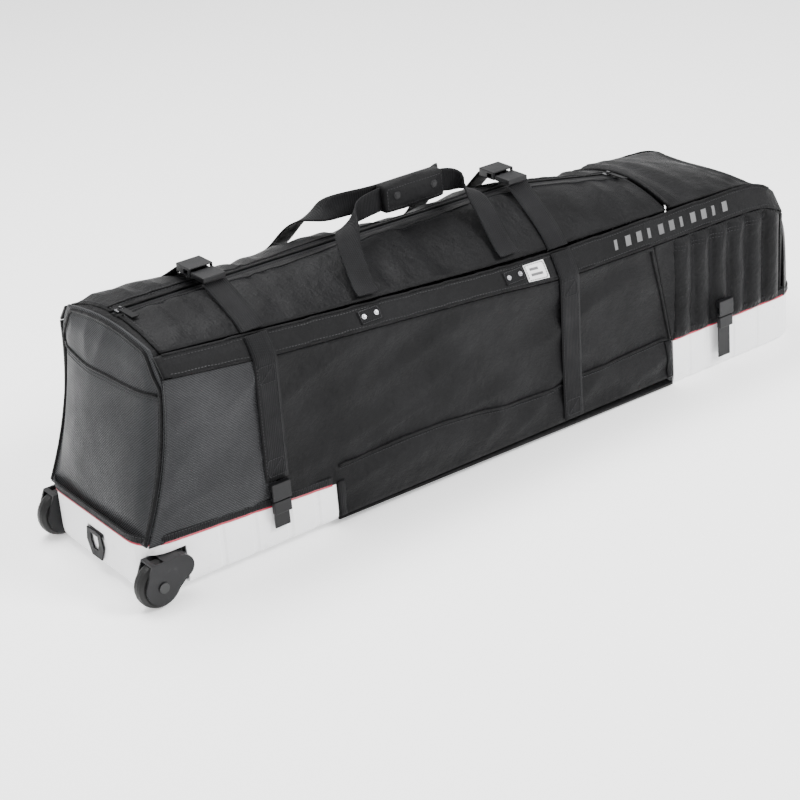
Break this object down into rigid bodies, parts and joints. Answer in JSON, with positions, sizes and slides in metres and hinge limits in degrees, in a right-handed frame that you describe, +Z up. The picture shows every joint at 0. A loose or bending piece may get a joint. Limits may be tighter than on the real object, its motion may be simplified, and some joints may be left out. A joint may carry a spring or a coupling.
{
  "type": "golf travel case",
  "caption": "Long wheeled travel case for golf clubs: fabric body between two moulded trays, zipped lids, compression straps with side-release buckles, grab handles",
  "frame": {"origin": "middle of the whole case at the floor it stands on", "axes": "+X towards the club-head end, away from the wheels; -Y towards the side with the handle wrap; +Z up"},
  "size_m": [1.2914, 0.323, 0.444],
  "materials": {
    "white_shell": "moulded polyethylene, satin with fine scuffs",
    "black_plastic": "injection moulded, fine grain",
    "tyre": "matt, worn on the tread",
    "wheel_hub": "moulded nylon",
    "plated_steel": "zinc plated",
    "grey_twill": "coated twill",
    "black_polyester": "ripstop weave",
    "black_webbing": "ribbed polypropylene webbing",
    "zip_tape": "knitted tape with a nylon coil"
  },
  "bodies": {
    "case": {"axle_bolt_far": "plated_steel", "axle_bolt_near": "plated_steel", "base_panel": "black_polyester", "handle_rivets_far_left": "plated_steel", "handle_rivets_far_right": "plated_steel", "handle_rivets_near_left": "plated_steel", "handle_rivets_near_right": "plated_steel", "head_end_panel": "black_polyester", "head_end_roof": "black_polyester", "head_end_side_far": "black_polyester", "head_end_side_near": "black_polyester", "head_end_tray": "white_shell", "head_end_tray_socket_far": "black_plastic", "head_end_tray_socket_near": "black_plastic", "middle_side_far": "black_polyester", "middle_side_near": "black_polyester", "middle_side_strap_far": "black_webbing", "middle_side_strap_near": "black_webbing", "shoulder_band_far": "black_webbing", "shoulder_band_near": "black_webbing", "wheel_end_panel": "grey_twill", "wheel_end_side_far": "grey_twill", "wheel_end_side_near": "grey_twill", "wheel_end_side_strap_far": "black_webbing", "wheel_end_side_strap_near": "black_webbing", "wheel_end_tray": "white_shell", "wheel_end_tray_socket_far": "black_plastic", "wheel_end_tray_socket_near": "black_plastic", "wheel_housing_far": "black_plastic", "wheel_housing_near": "black_plastic"},
    "wheel_near": {"tyre_near": "tyre", "wheel_hub_near": "wheel_hub", "bearings_near": "plated_steel"},
    "wheel_far": {"tyre_far": "tyre", "wheel_hub_far": "wheel_hub", "bearings_far": "plated_steel"},
    "lid_near": {"lid_near": "black_polyester", "zip_half_near": "zip_tape", "wheel_end_top_strap_near": "black_webbing", "middle_top_strap_near": "black_webbing"},
    "lid_far": {"lid_far": "black_polyester", "zip_half_far": "zip_tape", "wheel_end_top_strap_far": "black_webbing", "middle_top_strap_far": "black_webbing", "wheel_end_top_socket": "black_plastic", "middle_top_socket": "black_plastic"},
    "handle_near": {"handle_near": "black_webbing", "handle_wrap": "black_polyester"},
    "handle_far": {"handle_far": "black_webbing"},
    "wheel_end_top_plug": {"wheel_end_top_plug": "black_plastic"},
    "middle_top_plug": {"middle_top_plug": "black_plastic"},
    "wheel_end_slider": {"wheel_end_slider": "plated_steel"},
    "head_end_slider": {"head_end_slider": "plated_steel"},
    "wheel_end_zip_pull": {"wheel_end_zip_pull": "black_webbing"},
    "head_end_zip_pull": {"head_end_zip_pull": "black_webbing"},
    "end_grab_handle": {"end_grab_handle": "black_webbing"},
    "wheel_end_tray_plug_near": {"wheel_end_tray_plug_near": "black_plastic"},
    "wheel_end_tray_plug_far": {"wheel_end_tray_plug_far": "black_plastic"},
    "head_end_tray_plug_near": {"head_end_tray_plug_near": "black_plastic"},
    "head_end_tray_plug_far": {"head_end_tray_plug_far": "black_plastic"}
  },
  "joints": [
    {"name": "wheel_near_roll", "type": "hinge", "parent": "case", "child": "wheel_near", "pos_m": [-0.61055, -0.1425, 0.0352], "axis": [0, 1, 0], "continuous": true},
    {"name": "wheel_far_roll", "type": "hinge", "parent": "case", "child": "wheel_far", "pos_m": [-0.61055, 0.1425, 0.0352], "axis": [0, 1, 0], "continuous": true},
    {"name": "lid_near_open", "type": "hinge", "parent": "case", "child": "lid_near", "pos_m": [-0.54925, -0.125, 0.357], "axis": [0.998, 0, -0.0629], "range_deg": [0, 80]},
    {"name": "lid_far_open", "type": "hinge", "parent": "case", "child": "lid_far", "pos_m": [-0.54925, 0.125, 0.357], "axis": [-0.998, 0, 0.0629], "range_deg": [0, 80]},
    {"name": "handle_near_swing", "type": "hinge", "parent": "lid_near", "child": "handle_near", "pos_m": [-0.54925, -0.125, 0.357], "axis": [0.998, 0, -0.0629], "range_deg": [0, 110]},
    {"name": "handle_far_swing", "type": "hinge", "parent": "lid_far", "child": "handle_far", "pos_m": [-0.54925, 0.125, 0.357], "axis": [-0.998, 0, 0.0629], "range_deg": [0, 110]},
    {"name": "wheel_end_top_plug_release", "type": "slide", "parent": "lid_near", "child": "wheel_end_top_plug", "axis": [0, -1, 0], "range_m": [0, 0.028]},
    {"name": "middle_top_plug_release", "type": "slide", "parent": "lid_near", "child": "middle_top_plug", "axis": [0, -1, 0], "range_m": [0, 0.028]},
    {"name": "wheel_end_slider_run", "type": "slide", "parent": "lid_near", "child": "wheel_end_slider", "axis": [1, 0, -0.0099], "range_m": [0, 0.4]},
    {"name": "head_end_slider_run", "type": "slide", "parent": "lid_near", "child": "head_end_slider", "axis": [-0.9832, 0, 0.1826], "range_m": [0, 0.16]},
    {"name": "wheel_end_zip_pull_swing", "type": "hinge", "parent": "wheel_end_slider", "child": "wheel_end_zip_pull", "pos_m": [-0.53722, 0, 0.38089], "axis": [-1, 0, 0.0099], "range_deg": [0, 150]},
    {"name": "head_end_zip_pull_swing", "type": "hinge", "parent": "head_end_slider", "child": "head_end_zip_pull", "pos_m": [0.35732, 0, 0.33579], "axis": [-0.9832, 0, 0.1826], "range_deg": [0, 150]},
    {"name": "wheel_end_tray_plug_near_release", "type": "slide", "parent": "case", "child": "wheel_end_tray_plug_near", "axis": [0, 0, -1], "range_m": [0, 0.022]},
    {"name": "wheel_end_tray_plug_far_release", "type": "slide", "parent": "case", "child": "wheel_end_tray_plug_far", "axis": [0, 0, -1], "range_m": [0, 0.022]},
    {"name": "head_end_tray_plug_near_release", "type": "slide", "parent": "case", "child": "head_end_tray_plug_near", "axis": [0, 0, -1], "range_m": [0, 0.022]},
    {"name": "head_end_tray_plug_far_release", "type": "slide", "parent": "case", "child": "head_end_tray_plug_far", "axis": [0, 0, -1], "range_m": [0, 0.022]},
    {"name": "end_grab_handle_swing", "type": "hinge", "parent": "case", "child": "end_grab_handle", "pos_m": [-0.62725, 0, 0.064], "axis": [0, 1, 0], "range_deg": [0, 100]}
  ],
  "couplings": [
    {"joint": "lid_far_open", "follows": "lid_near_open", "ratio": 1}
  ]
}
